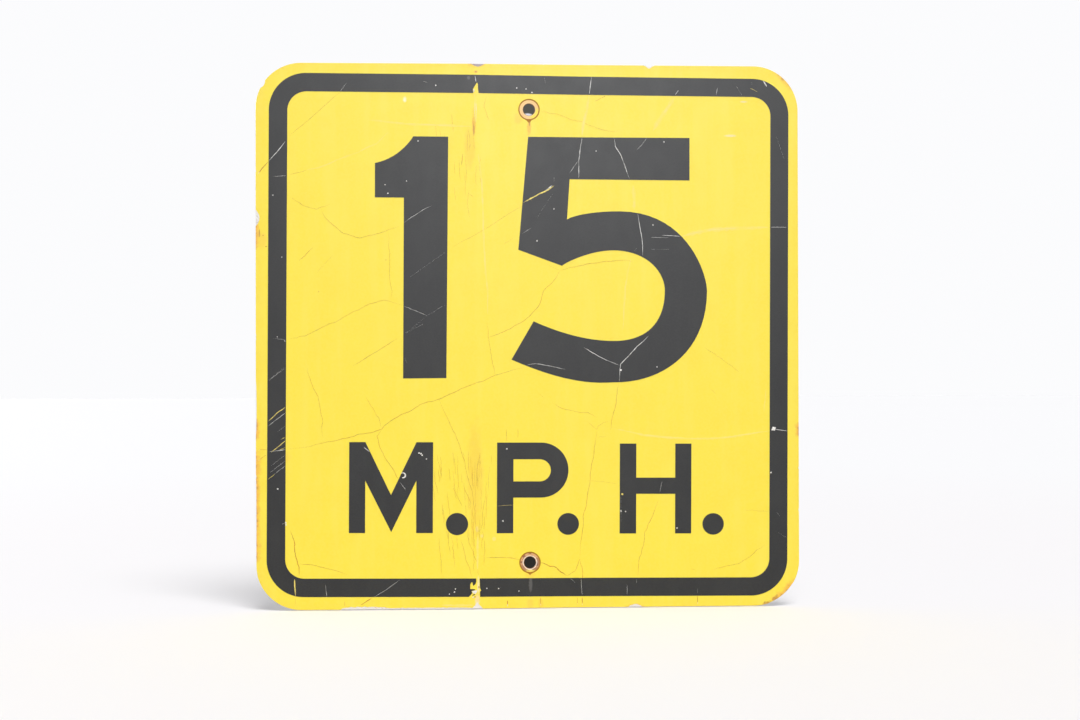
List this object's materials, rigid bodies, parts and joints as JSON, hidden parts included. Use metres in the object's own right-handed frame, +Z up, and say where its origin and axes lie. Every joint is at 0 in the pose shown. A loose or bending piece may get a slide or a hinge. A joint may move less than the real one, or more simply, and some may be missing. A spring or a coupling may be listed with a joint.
{
  "type": "speed limit sign",
  "caption": "Square steel speed limit sign plate with rounded corners, bolt holes in a vertical line and a slight bend at each edge of the strip that lay against its post.",
  "frame": {"origin": "midway between the two bolt holes, on the back face of the flat strip that lies against the post", "axes": "+Z up along the line of the holes, +Y out of the back towards the post, so the face looks along -Y"},
  "size_m": [0.4571, 0.0139, 0.4572],
  "materials": {
    "sign_panel": "yellow enamel on zinc coated sheet steel, semi-gloss, cracked, chipped and rusted along its edges"
  },
  "bodies": {
    "root": {"sign_panel": "sign_panel"}
  },
  "joints": []
}
